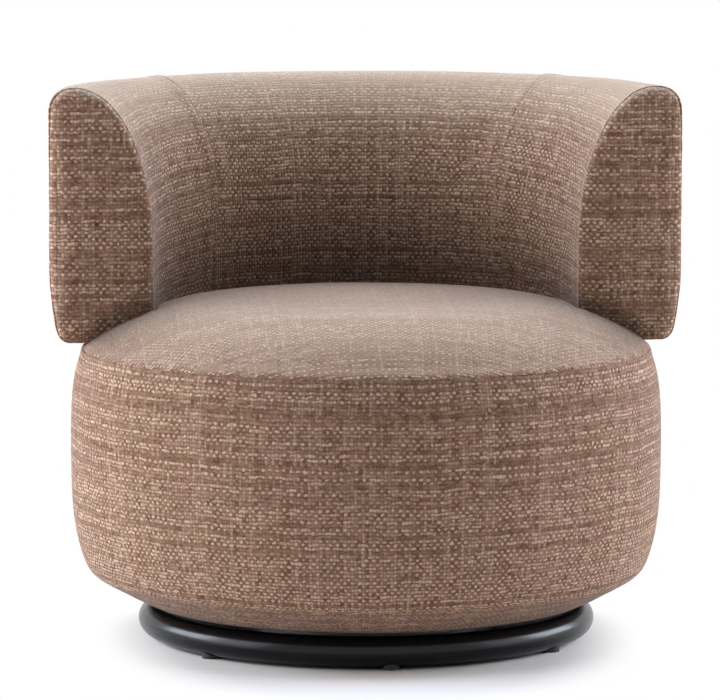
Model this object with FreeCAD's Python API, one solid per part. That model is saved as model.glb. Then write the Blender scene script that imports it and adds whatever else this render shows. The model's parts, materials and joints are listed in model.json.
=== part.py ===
"""Round swivel armchair: an upholstered drum seat and a half-ring back on a low ring base.

Everything is drawn about the swivel axis, in millimetres, with z counted from the floor
and the chair facing -Y. Left and right are the sitter's own. The whole chair is moved
along Y when it is saved, so that the origin is under the middle of its outline.
"""

import FreeCAD
import Part

import os
from math import asin, cos, pi, radians, sin

Vector = FreeCAD.Vector
UP = Vector(0, 0, 1)
CENTRE = Vector(0, 0, 0)
ACROSS = Vector(1, 0, 0)

# Clearances
running_fit = 0.05
bearing_gap = 0.3
bolt_gap = 0.2
board_gap = 0.1
soft_gap = 0.3
seam_width = 1.2

# Base: glides, tube ring and plate
glide_height = 3.0
glide_radius = 11.0
glide_count = 7
glide_first_angle = -87.0
glide_stem_radius = 3.0
glide_stem_length = 9.0
ring_tube_radius = 17.5
ring_tube_wall = 2.0
ring_inset = 4.0
base_plate_lift = 14.0
base_plate_thickness = 6.0

# Swivel bearing
flange_radius = 150.0
flange_thickness = 4.0
race_inset = 20.0
race_width = 26.0
race_thickness = 9.0
race_spacing = 5.0
ball_radius = 5.0
ball_count = 20
cage_width = 18.0
cage_thickness = 2.6
pivot_radius = 12.0
pivot_flange_radius = 20.0
pivot_tail = 7.0
bush_wall = 4.0
bush_height = 19.5
boss_wall = 8.0
washer_radius = 26.0
washer_thickness = 1.8
pivot_nut_radius = 17.0
pivot_nut_height = 4.4

# Screws and bolts
screw_radius = 4.0
screw_head_radius = 6.5
screw_head_height = 3.5
nut_radius = 7.5
nut_height = 5.0
thread_tail = 0.8
screw_circle_inset = 60.0
swivel_screw_count = 6
tee_flange_radius = 10.0
tee_flange_thickness = 1.5
tee_barrel_wall = 1.2
tee_barrel_length = 11.0

# Drum outline: radii are set in from the belly, heights up from the board or down from the seam
belly_radius = 348.5
belly_drop = 101.0
seat_seam_z = 344.0
seat_seam_inset = 14.5
crown_rise = 58.0
crown_power = 5.35
crown_arcs = 3
dome_inset = 164.0
corner_inset = 11.7
corner_rise = 60.0
corner_bulge_inset = 15.3
corner_bulge_rise = 38.5
cone_inset = 21.5
cone_rise = 31.0
hem_gap = 4.0
hem_width = 8.0
hem_rise = 2.5
cover_thickness = 2.0

# Drum frame
wall_padding = 20.5
wall_thickness = 3.0
wall_rise = 57.0
board_taper = 67.0
board_thickness = 18.0
dust_cover_thickness = 1.0
rib_thickness = 15.0
rib_count = 8
rib_foot_width = 72.0
deck_drop = 41.0
deck_ring_width = 85.0
strap_thickness = 1.5
strap_width = 55.0
strap_pitch = 80.0
strap_count = 5
strap_end_inset = 25.0

# Back outline
back_overhang = 26.5
back_thickness = 122.5
back_lift = 5.0
back_height = 306.0
back_lean_rise = 119.0
back_top_flat = 5.0
back_top_corner = 28.0
back_tuck_rise = 81.0
back_tuck_radius = 480.0
back_bottom_corner = 13.0
arm_end_reach = 12.0
arm_end_round = 6.0
end_seam_inset = 6.5
wing_angle = 45.0

# Back frame
back_panel_thickness = 4.0
back_padding = 19.0
back_frame_width = 48.0
back_frame_drop = 55.0
back_frame_end = 13.0
rail_thickness = 18.0
back_rib_count = 6
back_rib_first_angle = 6.0
post_count = 5
post_first_angle = 15.0
post_depth = 18.0
post_width = 60.0

# Bearing and base sizes that follow
ring_z = glide_height + ring_tube_radius
lower_race_z = base_plate_lift + base_plate_thickness
race_gap_z = lower_race_z + race_thickness
ball_z = race_gap_z + race_spacing / 2
board_z = race_gap_z + race_spacing + race_thickness
upper_flange_z = board_z - flange_thickness
board_top_z = board_z + board_thickness
race_radius = flange_radius - race_inset
screw_circle_radius = flange_radius - screw_circle_inset

# Drum sizes that follow
wall_radius = belly_radius - wall_padding - wall_thickness
board_radius = wall_radius - board_taper
ring_radius = board_radius - ring_inset
seat_seam_radius = belly_radius - seat_seam_inset
dome_radius = seat_seam_radius - dome_inset
corner_radius = belly_radius - corner_inset
corner_bulge_radius = belly_radius - corner_bulge_inset
cone_radius = belly_radius - cone_inset
belly_z = seat_seam_z - belly_drop
crown_z = seat_seam_z + crown_rise
corner_top_z = board_z + corner_rise
corner_bulge_z = board_z + corner_bulge_rise
wall_bottom_z = board_z + wall_rise
deck_z = seat_seam_z - deck_drop
deck_ring_z = deck_z - board_thickness
foam_z = deck_z + 2 * strap_thickness

# Back sizes that follow
back_radius = belly_radius + back_overhang
back_bottom_z = seat_seam_z + back_lift
back_top_z = back_bottom_z + back_height
back_lean_z = back_bottom_z + back_lean_rise
back_lean_width = back_thickness - back_top_corner - back_top_flat
back_tuck_z = back_bottom_z + back_tuck_rise
back_inner_radius = back_radius - back_thickness
back_outer_panel_radius = back_radius - back_padding
back_rail_outer = back_outer_panel_radius - back_panel_thickness
back_rail_inner = back_rail_outer - back_frame_width
back_cavity_radius = back_rail_inner - back_panel_thickness
back_frame_z = back_bottom_z + cover_thickness
back_frame_top_z = back_top_z - back_frame_drop
seam_corner = back_top_corner * sin(radians(45))
back_seam_radius = back_radius - back_top_corner + seam_corner
back_seam_z = back_top_z - back_top_corner + seam_corner
axis_y = (belly_radius - back_radius) / 2
reach = 2 * back_radius
edge_tolerance = 0.01


def at(radius, z):
    return Vector(radius, 0, z)


def line(a, b):
    return Part.LineSegment(a, b).toShape()


def arc(a, middle, b):
    return Part.Arc(a, middle, b).toShape()


def polygon(points):
    return Part.Face(Part.makePolygon(points + points[:1]))


def turned(face, degrees=360):
    return face.revolve(CENTRE, UP, degrees)


def tube(inner, outer, bottom, top):
    """A round washer, tube or disc about the swivel axis; an inner radius of 0 makes a disc."""
    body = Part.makeCylinder(outer, top - bottom, at(0, bottom))
    if inner > 0:
        body = body.cut(Part.makeCylinder(inner, top - bottom, at(0, bottom)))
    return body


def peg(x, y, radius, bottom, top):
    return Part.makeCylinder(radius, top - bottom, Vector(x, y, bottom))


def hexagon(x, radius, bottom, top):
    corners = [Vector(x + radius * cos(k * pi / 3), radius * sin(k * pi / 3), bottom) for k in range(6)]
    return polygon(corners).extrude(at(0, top - bottom))


def slab(x0, x1, y0, y1, z0, z1):
    return Part.makeBox(x1 - x0, y1 - y0, z1 - z0, Vector(x0, y0, z0))


def rotated(shape, degrees):
    copy = shape.copy()
    copy.rotate(CENTRE, UP, degrees)
    return copy


def spread(shape, angles):
    return [rotated(shape, angle) for angle in angles]


def even_angles(count, first=0.0):
    return [first + 360.0 * k / count for k in range(count)]


def behind(shape, y):
    """The part of a shape on the back's side of the upright plane at y."""
    return shape.common(slab(-reach, reach, y, reach, -reach, reach))


def biggest(shape):
    """The main solid of a result, without slivers."""
    return max(shape.Solids, key=lambda solid: solid.Volume)


def sector(start, end, bottom, top, inner=0.0, outer=reach):
    """A block of ring between two angles, counted from +X towards +Y."""
    face = polygon([at(inner, bottom), at(outer, bottom), at(outer, top), at(inner, top)])
    return rotated(turned(face, end - start), start)


def save(name, shape):
    placed = shape.copy()
    placed.translate(Vector(0, axis_y, 0))
    if not placed.isValid():
        raise ValueError(name + " is not a valid solid")
    placed.exportStep("parts/" + name + ".step")


def save_group(name, solids):
    save(name, Part.makeCompound(solids))


def make_base():
    glide_angles = even_angles(glide_count, glide_first_angle)
    outer_tube = Part.makeTorus(ring_radius, ring_tube_radius, at(0, ring_z))
    bore = Part.makeTorus(ring_radius, ring_tube_radius - ring_tube_wall, at(0, ring_z))
    stem_top = glide_height + glide_stem_length
    stem_hole = peg(ring_radius, 0, glide_stem_radius + running_fit, 0, stem_top)
    ring = outer_tube.cut(bore).cut(Part.makeCompound(spread(stem_hole, glide_angles)))
    save("base_ring", ring)

    skirt_top = ring_z - (ring_tube_radius ** 2 - glide_radius ** 2) ** 0.5
    pad = peg(ring_radius, 0, glide_radius, 0, skirt_top).cut(outer_tube)
    stem = peg(ring_radius, 0, glide_stem_radius, glide_height / 2, stem_top)
    save_group("floor_glides", spread(biggest(pad.fuse(stem)), glide_angles))

    plate = tube(
        pivot_radius + running_fit + bush_wall + running_fit,
        ring_radius - ring_tube_radius - board_gap,
        base_plate_lift,
        lower_race_z,
    )
    hole = peg(screw_circle_radius, 0, screw_radius + bolt_gap, 0, board_z)
    holes = Part.makeCompound(spread(hole, even_angles(swivel_screw_count)))
    save("base_plate", plate.cut(holes))


def race_groove():
    return Part.makeTorus(race_radius, ball_radius + bearing_gap, at(0, ball_z))


def race_plate(inner, flange_bottom, race_bottom):
    """One pressed bearing plate: a flat flange, a raised race ring and the ball groove in it."""
    half = race_width / 2
    flange = tube(inner, flange_radius, flange_bottom, flange_bottom + flange_thickness)
    race = tube(race_radius - half, race_radius + half, race_bottom, race_bottom + race_thickness)
    return flange.fuse(race).removeSplitter().cut(race_groove())


def make_swivel():
    """The ball bearing that carries the seat: two grooved plates, the caged balls and the king pin."""
    screw_angles = even_angles(swivel_screw_count)
    upper_angles = even_angles(swivel_screw_count, 180.0 / swivel_screw_count)
    bush_inner = pivot_radius + running_fit
    bush_outer = bush_inner + bush_wall
    boss_inner = bush_outer + running_fit
    bush_top = base_plate_lift + bush_height
    hole = peg(screw_circle_radius, 0, screw_radius + bolt_gap, 0, board_z)

    lower = race_plate(boss_inner, lower_race_z, lower_race_z)
    boss = tube(boss_inner, boss_inner + boss_wall, lower_race_z, bush_top - running_fit)
    lower = lower.fuse(boss).removeSplitter().cut(Part.makeCompound(spread(hole, screw_angles)))
    save("swivel_lower_plate", lower)

    upper = race_plate(pivot_flange_radius + board_gap, upper_flange_z, race_gap_z + race_spacing)
    upper = upper.cut(Part.makeCompound(spread(hole, upper_angles)))
    save("swivel_upper_plate", upper)

    save("pivot_bush", tube(bush_inner, bush_outer, base_plate_lift, bush_top))
    shaft = tube(0, pivot_radius, pivot_tail, upper_flange_z)
    flange = tube(0, pivot_flange_radius, upper_flange_z, board_z)
    save("pivot_spindle", shaft.fuse(flange).removeSplitter())
    washer_top = base_plate_lift - bearing_gap
    washer_bottom = washer_top - washer_thickness
    save("pivot_washer", tube(pivot_radius + running_fit, washer_radius, washer_bottom, washer_top))
    nut = hexagon(0, pivot_nut_radius, washer_bottom - pivot_nut_height, washer_bottom)
    save("pivot_nut", nut.cut(tube(0, pivot_radius + running_fit, 0, board_z)))

    pocket = peg(race_radius, 0, ball_radius + bearing_gap / 2, 0, board_z)
    ball_angles = even_angles(ball_count)
    cage = tube(
        race_radius - cage_width / 2,
        race_radius + cage_width / 2,
        ball_z - cage_thickness / 2,
        ball_z + cage_thickness / 2,
    )
    save("ball_cage", cage.cut(Part.makeCompound(spread(pocket, ball_angles))))
    ball = Part.makeSphere(ball_radius, at(race_radius, ball_z))
    save_group("bearing_balls", spread(ball, ball_angles))

    lower_top = lower_race_z + flange_thickness
    shank = peg(screw_circle_radius, 0, screw_radius, base_plate_lift - nut_height - thread_tail, lower_top)
    head = peg(screw_circle_radius, 0, screw_head_radius, lower_top, lower_top + screw_head_height)
    save_group("lower_plate_bolts", spread(shank.fuse(head).removeSplitter(), screw_angles))
    nut = hexagon(screw_circle_radius, nut_radius, base_plate_lift - nut_height, base_plate_lift)
    nut = nut.cut(peg(screw_circle_radius, 0, screw_radius + running_fit, 0, board_z))
    save_group("lower_plate_nuts", spread(nut, screw_angles))

    shank = peg(screw_circle_radius, 0, screw_radius, upper_flange_z, board_top_z)
    head = peg(
        screw_circle_radius, 0, screw_head_radius, upper_flange_z - screw_head_height, upper_flange_z
    )
    save_group("upper_plate_screws", spread(shank.fuse(head).removeSplitter(), upper_angles))
    barrel_radius = screw_radius + running_fit + tee_barrel_wall
    tee_top = board_top_z + tee_flange_thickness
    barrel = peg(screw_circle_radius, 0, barrel_radius, board_top_z - tee_barrel_length, tee_top)
    flange = peg(screw_circle_radius, 0, tee_flange_radius, board_top_z, tee_top)
    tee = barrel.fuse(flange).removeSplitter()
    tee = tee.cut(peg(screw_circle_radius, 0, screw_radius + running_fit, 0, tee_top))
    save_group("upper_plate_tee_nuts", spread(tee, upper_angles))

    board = tube(0, board_radius, board_z, board_top_z)
    hole = peg(screw_circle_radius, 0, barrel_radius + running_fit, board_z, board_top_z)
    save("bottom_board", board.cut(Part.makeCompound(spread(hole, upper_angles))))
    dust_cover = tube(flange_radius + bolt_gap, board_radius, board_z - dust_cover_thickness, board_z)
    save("underside_cover", dust_cover)


def post_angles():
    last = 180.0 - post_first_angle
    step = (last - post_first_angle) / (post_count - 1)
    return [post_first_angle + step * k for k in range(post_count)]


def post_radius():
    return wall_radius - board_gap - post_depth / 2


def post_block(extra):
    """One upright block that carries the back, with some room all round if extra is given."""
    middle = post_radius()
    half_depth = post_depth / 2 + extra
    half_width = post_width / 2 + extra
    return slab(middle - half_depth, middle + half_depth, -half_width, half_width, deck_z, back_bottom_z)


def bolt_holes(radius, bottom, top):
    return Part.makeCompound(spread(peg(post_radius(), 0, radius, bottom, top), post_angles()))


def make_drum_frame():
    half = rib_thickness / 2
    outline = [
        at(board_radius - rib_foot_width, board_top_z),
        at(board_radius, board_top_z),
        at(wall_radius, wall_bottom_z),
        at(wall_radius, deck_ring_z),
        at(wall_radius - deck_ring_width, deck_ring_z),
    ]
    rib = polygon(outline).extrude(Vector(0, rib_thickness, 0))
    rib.translate(Vector(0, -half, 0))
    rib = rib.common(tube(0, wall_radius - board_gap, board_top_z, deck_ring_z))
    save_group("drum_ribs", spread(rib, even_angles(rib_count, 180.0 / rib_count)))
    ring = tube(wall_radius - deck_ring_width, wall_radius - board_gap, deck_ring_z, deck_z)
    save("drum_top_ring", ring.cut(bolt_holes(screw_radius + bolt_gap, deck_ring_z, deck_z)))
    save("drum_wall_panel", tube(wall_radius, wall_radius + wall_thickness, wall_bottom_z, deck_z))

    strap_end = wall_radius - strap_end_inset
    first = -strap_pitch * (strap_count - 1) / 2
    for name, bottom, along_x in (
        ("webbing_lengthwise", deck_z, False),
        ("webbing_crosswise", deck_z + strap_thickness, True),
    ):
        disc = tube(0, strap_end, bottom, bottom + strap_thickness)
        straps = []
        for k in range(strap_count):
            a = first + k * strap_pitch - strap_width / 2
            b = a + strap_width
            if along_x:
                straps.append(disc.common(slab(-reach, reach, a, b, 0, reach)))
            else:
                straps.append(disc.common(slab(a, b, -reach, reach, 0, reach)))
        save_group(name, [biggest(strap) for strap in straps])


def drum_outline():
    """The drum's upholstered outline from the hem under the board, round the belly, to the crown."""
    hem_inner = at(board_radius + hem_gap, board_z)
    hem_outer = at(board_radius + hem_gap + hem_width, board_z + hem_rise)
    cone_end = at(cone_radius, board_z + cone_rise)
    wall_start = at(corner_radius, corner_top_z)
    seam = at(seat_seam_radius, seat_seam_z)
    points = []
    dome_turn = asin(dome_radius / seat_seam_radius)
    for k in range(2 * crown_arcs + 1):
        share = sin(pi / 2 - (pi / 2 - dome_turn) * k / (2 * crown_arcs))
        drop = (crown_z - seat_seam_z) * share ** crown_power
        points.append(at(seat_seam_radius * share, crown_z - drop))
    crown = [arc(*points[2 * k:2 * k + 3]) for k in range(crown_arcs)]
    dome_foot = points[-1]
    dome_drop = crown_z - dome_foot.z
    dome_sweep = (dome_foot.x ** 2 + dome_drop ** 2) / (2 * dome_drop)
    half_turn = asin(dome_foot.x / dome_sweep) / 2
    dome_middle = at(dome_sweep * sin(half_turn), crown_z - dome_sweep * (1 - cos(half_turn)))
    crown.append(arc(dome_foot, dome_middle, at(0, crown_z)))
    return Part.Wire([
        line(hem_inner, hem_outer),
        line(hem_outer, cone_end),
        arc(cone_end, at(corner_bulge_radius, corner_bulge_z), wall_start),
        arc(wall_start, at(belly_radius, belly_z), seam),
    ] + crown)


def back_room():
    """The space that the back takes out of the seat, with a little room round it."""
    face = polygon([
        at(back_inner_radius - soft_gap, back_bottom_z),
        at(reach, back_bottom_z),
        at(reach, reach),
        at(back_inner_radius - soft_gap, reach),
    ])
    return behind(turned(face), -arm_end_reach - soft_gap)


def redrawn(face):
    """The same flat face with its outline drawn afresh as plain lines and arcs."""
    edges = []
    for edge in face.OuterWire.OrderedEdges:
        start = edge.firstVertex(True).Point
        end = edge.lastVertex(True).Point
        middle = edge.valueAt((edge.FirstParameter + edge.LastParameter) / 2)
        straight = isinstance(edge.Curve, Part.Line)
        edges.append(line(start, end) if straight else arc(start, middle, end))
    return Part.Face(Part.Wire(edges))


def band(face, bottom, top):
    """The part of an upright section between two heights."""
    zone = polygon([at(0, bottom), at(reach, bottom), at(reach, top), at(0, top)])
    return redrawn(face.common(zone).Faces[0])


def make_drum_upholstery():
    outline = drum_outline()
    skin_face = outline.makeOffset2D(cover_thickness, 0, True, True, False)
    half_seam = seam_width / 2
    save("drum_side_cover", turned(band(skin_face, 0, seat_seam_z - half_seam)))
    top = turned(band(skin_face, seat_seam_z + half_seam, reach))
    save("seat_top_cover", biggest(top.cut(back_room())))

    closed = Part.Face(Part.Wire(outline.Edges + [
        line(at(0, crown_z), at(0, board_z)),
        line(at(0, board_z), at(board_radius + hem_gap, board_z)),
    ]))
    core_face = closed.cut(skin_face).Faces[0]
    foam = turned(band(core_face, foam_z, reach)).cut(back_room())
    posts = Part.makeCompound(spread(post_block(soft_gap), post_angles()))
    save("seat_foam", biggest(foam.cut(posts)))

    frame_outer = wall_radius + wall_thickness + soft_gap
    frame_shape = polygon([
        at(0, 0),
        at(board_radius + soft_gap, 0),
        at(board_radius + soft_gap, board_top_z - soft_gap),
        at(frame_outer, wall_bottom_z - soft_gap),
        at(frame_outer, foam_z),
        at(0, foam_z),
    ])
    padding_face = band(core_face, board_z, foam_z).cut(frame_shape).Faces[0]
    save("drum_padding", turned(redrawn(padding_face)))


def back_outline(inset):
    """The back's upright section, closed, drawn in by inset from its outer skin."""
    inner = back_inner_radius + inset
    bottom = back_bottom_z + inset
    top = back_top_z - inset
    outer = back_radius - inset
    lean_centre = at(back_inner_radius + back_lean_width, back_lean_z)
    lean_foot = at(inner, back_lean_z)
    lean_head = at(lean_centre.x, top)
    lean = Part.ArcOfEllipse(Part.Ellipse(lean_head, lean_foot, lean_centre), 0, pi / 2).toShape()
    corner = back_top_corner - inset
    corner_x = outer - corner
    corner_z = top - corner
    tuck = back_tuck_radius - inset
    foot = back_bottom_corner - inset
    turn = asin((back_tuck_z - bottom - foot) / (tuck - foot))
    tuck_x = outer - tuck
    tuck_end = at(tuck_x + tuck * cos(turn), back_tuck_z - tuck * sin(turn))
    foot_centre = at(tuck_end.x - foot * cos(turn), tuck_end.z + foot * sin(turn))
    foot_turn = (turn + pi / 2) / 2
    diagonal = sin(radians(45))
    return Part.Wire([
        line(at(inner, bottom), lean_foot),
        lean,
        line(lean_head, at(corner_x, top)),
        arc(
            at(corner_x, top),
            at(corner_x + corner * diagonal, corner_z + corner * diagonal),
            at(outer, corner_z),
        ),
        line(at(outer, corner_z), at(outer, back_tuck_z)),
        arc(
            at(outer, back_tuck_z),
            at(tuck_x + tuck * cos(turn / 2), back_tuck_z - tuck * sin(turn / 2)),
            tuck_end,
        ),
        arc(
            tuck_end,
            at(foot_centre.x + foot * cos(foot_turn), foot_centre.z - foot * sin(foot_turn)),
            at(foot_centre.x, bottom),
        ),
        line(at(foot_centre.x, bottom), at(inner, bottom)),
    ])


def back_body(inset):
    """The whole half ring, drawn in by inset, with its arm ends rounded over."""
    end_y = inset - arm_end_reach
    ring = behind(turned(Part.Face(back_outline(inset))), end_y)
    lowest = back_bottom_z + inset
    end_edges = []
    for edge in ring.Edges:
        box = edge.BoundBox
        off_plane = max(abs(box.YMin - end_y), abs(box.YMax - end_y))
        if off_plane < edge_tolerance and box.ZMax > lowest + edge_tolerance:
            end_edges.append(edge)
    return ring.makeFillet(arm_end_round - inset, end_edges)


def seam_side():
    """The space inside the seam that runs round the back's top, on the sitter's side."""
    inner_edge = back_outer_panel_radius + board_gap
    return turned(polygon([
        at(0, 0),
        at(inner_edge, 0),
        at(inner_edge, back_seam_z - (back_seam_radius - inner_edge)),
        at(back_seam_radius + back_top_corner, back_seam_z + back_top_corner),
        at(0, back_seam_z + back_top_corner),
    ]))


def make_back_upholstery():
    body = back_body(0)
    core = back_body(cover_thickness)
    skin = body.cut(core)

    end_shape = Part.Face(back_outline(end_seam_inset))
    end_gap_shape = Part.Face(back_outline(end_seam_inset - seam_width))
    depth = Vector(0, 2 * cover_thickness, 0)
    start = Vector(0, -arm_end_reach - cover_thickness, 0)
    panels = end_shape.extrude(depth)
    panels.translate(start)
    gaps = end_gap_shape.extrude(depth)
    gaps.translate(start)
    save("back_end_panel_left", biggest(skin.common(panels)))
    save("back_end_panel_right", biggest(skin.common(panels.mirror(CENTRE, ACROSS))))
    skin = skin.cut(gaps).cut(gaps.mirror(CENTRE, ACROSS))

    inside = seam_side()
    floor_band = tube(0, reach, 0, back_frame_z)
    bottom_cut = bolt_holes(screw_radius + bolt_gap, 0, reach)
    save("back_bottom_cover", biggest(skin.common(floor_band).common(inside).cut(bottom_cut)))
    upper = skin.cut(floor_band.common(inside))
    groove = Part.makeTorus(back_seam_radius, seam_width, at(0, back_seam_z))
    outer = upper.cut(inside).cut(groove)
    save("back_cover_outer", biggest(outer))

    inner = upper.common(inside).cut(groove)
    first = 90 - wing_angle
    last = 90 + wing_angle
    seam_cut = slab(0, reach, -seam_width / 2, seam_width / 2, 0, reach)
    seams = Part.makeCompound(spread(seam_cut, (first, last)))
    zones = (("wing_left", -90, first), ("centre", first, last), ("wing_right", last, 270))
    for name, start_angle, end_angle in zones:
        zone = sector(start_angle, end_angle, 0, reach)
        save("back_cover_" + name, biggest(inner.common(zone).cut(seams)))

    cavity = tube(
        back_cavity_radius - soft_gap,
        back_outer_panel_radius + soft_gap,
        0,
        back_frame_top_z + soft_gap,
    )
    foam = core.cut(behind(cavity, back_frame_end - soft_gap))
    save("back_outer_padding", biggest(foam.cut(inside)))
    foam = foam.common(inside)
    for name, start_angle, end_angle in zones:
        zone = sector(start_angle, end_angle, 0, reach)
        save("back_foam_" + name, biggest(foam.common(zone)))


def make_back_frame():
    top_rail_z = back_frame_top_z - rail_thickness
    rail_top_z = back_frame_z + rail_thickness
    rail_holes = bolt_holes(screw_radius + bolt_gap, 0, reach)
    bottom_rail = tube(back_rail_inner, back_rail_outer, back_frame_z, rail_top_z)
    save("back_bottom_rail", behind(bottom_rail, back_frame_end).cut(rail_holes))
    top_rail = tube(back_rail_inner, back_rail_outer, top_rail_z, back_frame_top_z)
    save("back_top_rail", behind(top_rail, back_frame_end))

    inner_panel = tube(back_cavity_radius, back_rail_inner - board_gap, back_frame_z, back_frame_top_z)
    save("back_inner_panel", behind(inner_panel, back_frame_end))
    outer_panel = tube(
        back_rail_outer + board_gap, back_outer_panel_radius, back_frame_z, back_frame_top_z
    )
    save("back_outer_panel", behind(outer_panel, back_frame_end))

    half = rib_thickness / 2
    rib = slab(back_rail_inner, back_rail_outer, -half, half, rail_top_z, top_rail_z)
    rib = rib.common(tube(back_rail_inner, back_rail_outer, rail_top_z, top_rail_z))
    last = 180.0 - back_rib_first_angle
    step = (last - back_rib_first_angle) / (back_rib_count - 1)
    save_group("back_ribs", spread(rib, [back_rib_first_angle + step * k for k in range(back_rib_count)]))

    post = post_block(0)
    post = post.cut(peg(post_radius(), 0, screw_radius + bolt_gap, deck_z, back_bottom_z))
    post = post.common(tube(0, wall_radius - board_gap, deck_z, back_bottom_z))
    save_group("back_posts", spread(post, post_angles()))

    nut_top_z = rail_top_z + nut_height
    shank = peg(post_radius(), 0, screw_radius, deck_ring_z, nut_top_z + thread_tail)
    head = peg(post_radius(), 0, screw_head_radius, deck_ring_z - screw_head_height, deck_ring_z)
    save_group("back_bolts", spread(shank.fuse(head).removeSplitter(), post_angles()))
    nut = hexagon(post_radius(), nut_radius, rail_top_z, nut_top_z)
    nut = nut.cut(peg(post_radius(), 0, screw_radius + running_fit, rail_top_z, nut_top_z))
    save_group("back_nuts", spread(nut, post_angles()))


os.makedirs("parts", exist_ok=True)
make_base()
make_swivel()
make_drum_frame()
make_drum_upholstery()
make_back_frame()
make_back_upholstery()
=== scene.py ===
"""Round swivel armchair: the upholstery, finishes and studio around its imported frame.

Sizes are metres in the frame's own axes: +Z up, the sitter faces -Y, and left and right
are the sitter's own. The soft pieces are drawn about the swivel axis, as the frame is.
"""

import json
from functools import partial, partialmethod
from math import asin, cos, pi, radians, sin, sqrt

import bpy
import numpy as np
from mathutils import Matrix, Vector, noise


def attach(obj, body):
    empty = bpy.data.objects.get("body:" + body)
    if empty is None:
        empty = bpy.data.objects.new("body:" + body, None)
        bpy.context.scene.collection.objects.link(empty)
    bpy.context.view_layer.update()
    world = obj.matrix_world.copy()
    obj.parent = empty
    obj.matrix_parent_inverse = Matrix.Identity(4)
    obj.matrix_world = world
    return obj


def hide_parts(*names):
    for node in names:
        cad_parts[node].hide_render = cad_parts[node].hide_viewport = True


bl_info = {
    "name": "Round swivel armchair",
    "version": (1, 0, 0),
    "blender": (4, 5, 0),
    "location": "3D View > Sidebar > Armchair",
    "description": "Upholsters the armchair's frame in woven fabric and sets it in a plain studio",
    "category": "Object",
}

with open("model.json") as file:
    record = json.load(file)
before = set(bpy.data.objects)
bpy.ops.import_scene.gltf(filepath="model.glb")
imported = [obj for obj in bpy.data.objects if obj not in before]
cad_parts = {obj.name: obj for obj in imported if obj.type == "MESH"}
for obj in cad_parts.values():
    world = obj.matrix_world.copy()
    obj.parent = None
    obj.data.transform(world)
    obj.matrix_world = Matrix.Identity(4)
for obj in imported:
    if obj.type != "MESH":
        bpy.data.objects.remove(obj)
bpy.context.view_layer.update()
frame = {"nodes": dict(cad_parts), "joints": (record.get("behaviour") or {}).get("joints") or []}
AXIS = Vector((0.0, frame["joints"][0]["pos_m"][1], 0.0))
WHITE = (1.0, 1.0, 1.0)

# Drawing of the lines and panels: lengths in metres and a ratio, then numbers of points
FINE_STEP = 0.0005
OUTLINE_STEP = 0.0015
SEAM_STEP = 0.0012
STEP_GROWTH = 1.6
HEM_LIP = (0.0085, 0.0034)
DRUM_EASE = 0.020
INNER_FOOT_CORNER = 0.010
UNDER_SEAM_INSET = 0.004
WELD_DISTANCE = 0.00005
WALL_POINTS = 40
LEAN_POINTS = 60
CORNER_POINTS = 24
FOOT_POINTS = 16
INNER_FOOT_POINTS = 12
INNER_SEAM_POINT = 4

# Discs: the share of their radius that an even grid covers, and the steps between the rings round it,
# from the rim inwards, in metres for the seat and in shares of the radius for the arm ends
DISC_CORE = 0.86
SEAT_RINGS = (0.0, 0.0012, 0.0018, 0.0028, 0.0042, 0.006, 0.008, 0.010)
SEAT_CELLS = 38
END_RINGS = (-0.004, 0.004, 0.012, 0.016, 0.022, 0.028, 0.036)
END_CELLS = 12
END_WEAVE_SHIFT = 3.0

# The seat's rim where the back hides it, and its groove and weave
HIDDEN_INSET = 0.006
HIDDEN_SETBACK = 0.012
HIDDEN_DROP = 0.004
SEAT_GROOVE_TIGHTNESS = 3.0
WEAVE_STRETCH = 0.05

# The back: where its wing seams bow, in shares of the section, and the middle of its padding, as a share
# of the thickness from the outer side and a height
BOW_MIDDLE = 0.52
BOW_WIDTH = 0.22
PAD_MIDDLE = (0.42, 0.5)

# How seams hold the cloth: the distance over which it comes loose, and the share of it that is held fast
DRUM_TOP_HOLD = (0.006, 0.2)
HEM_HOLD = (0.012, 0.4)
SEAT_HOLD = (0.010, 0.3)
PANEL_HOLD = (0.012, 0.15)

# Padding: the puckers' reach in metres, and the waves' and puckers' number in a metre
PUCKER_REACH = 0.014
PUCKER_SHARE = 0.9
PUCKERS = 42.0
WAVES = 7.0
WAVE_SHIFT = Vector((3.1, 1.7, 0.0))
CLOTH_SETTINGS = {
    "quality": 5, "mass": 0.3, "tension_stiffness": 2.5, "compression_stiffness": 2.5,
    "shear_stiffness": 1.5, "bending_stiffness": 1.0, "use_pressure": True,
}
SMOOTHING = 0.6
SMOOTHING_ROUNDS = 12
BLOCK = 2000

# The painted shade in the crevice sets in between these heights and between these distances from the swivel
# axis
CREVICE_HEIGHTS = (0.346, 0.360)
CREVICE_RADII = (0.366, 0.346)

# The floor's shadow: the half axes of its ellipse, and the shares of them between which it fades
SHADOW_REACH = (0.40, 0.75)
SHADOW_FADE = (0.56, 0.82)

# What each soft piece stands for in the frame
SEAT_NODES = ("seat_top_cover", "seat_foam")
DRUM_NODES = ("drum_side_cover", "drum_padding")
CENTRE_NODES = ("back_cover_centre", "back_foam_centre")
LEFT_NODES = ("back_cover_wing_left", "back_foam_wing_left")
RIGHT_NODES = ("back_cover_wing_right", "back_foam_wing_right")
OUTER_NODES = ("back_cover_outer", "back_outer_padding")
PADDED = (SEAT_NODES, DRUM_NODES, CENTRE_NODES, LEFT_NODES, RIGHT_NODES, OUTER_NODES)


def real(name, description, default, make=bpy.props.FloatProperty, **more):
    """A property of numbers, whose unit or subtype is in more."""
    return make(name=name, description=description, default=default, **more)


def degrees(name, description, default):
    """A property for an angle, whose default is in degrees."""
    return real(name, description, radians(default), subtype="ANGLE")


metres = partial(real, unit="LENGTH")
factor = partial(real, subtype="FACTOR")
rgb = partial(real, make=bpy.props.FloatVectorProperty, subtype="COLOR")


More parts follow.
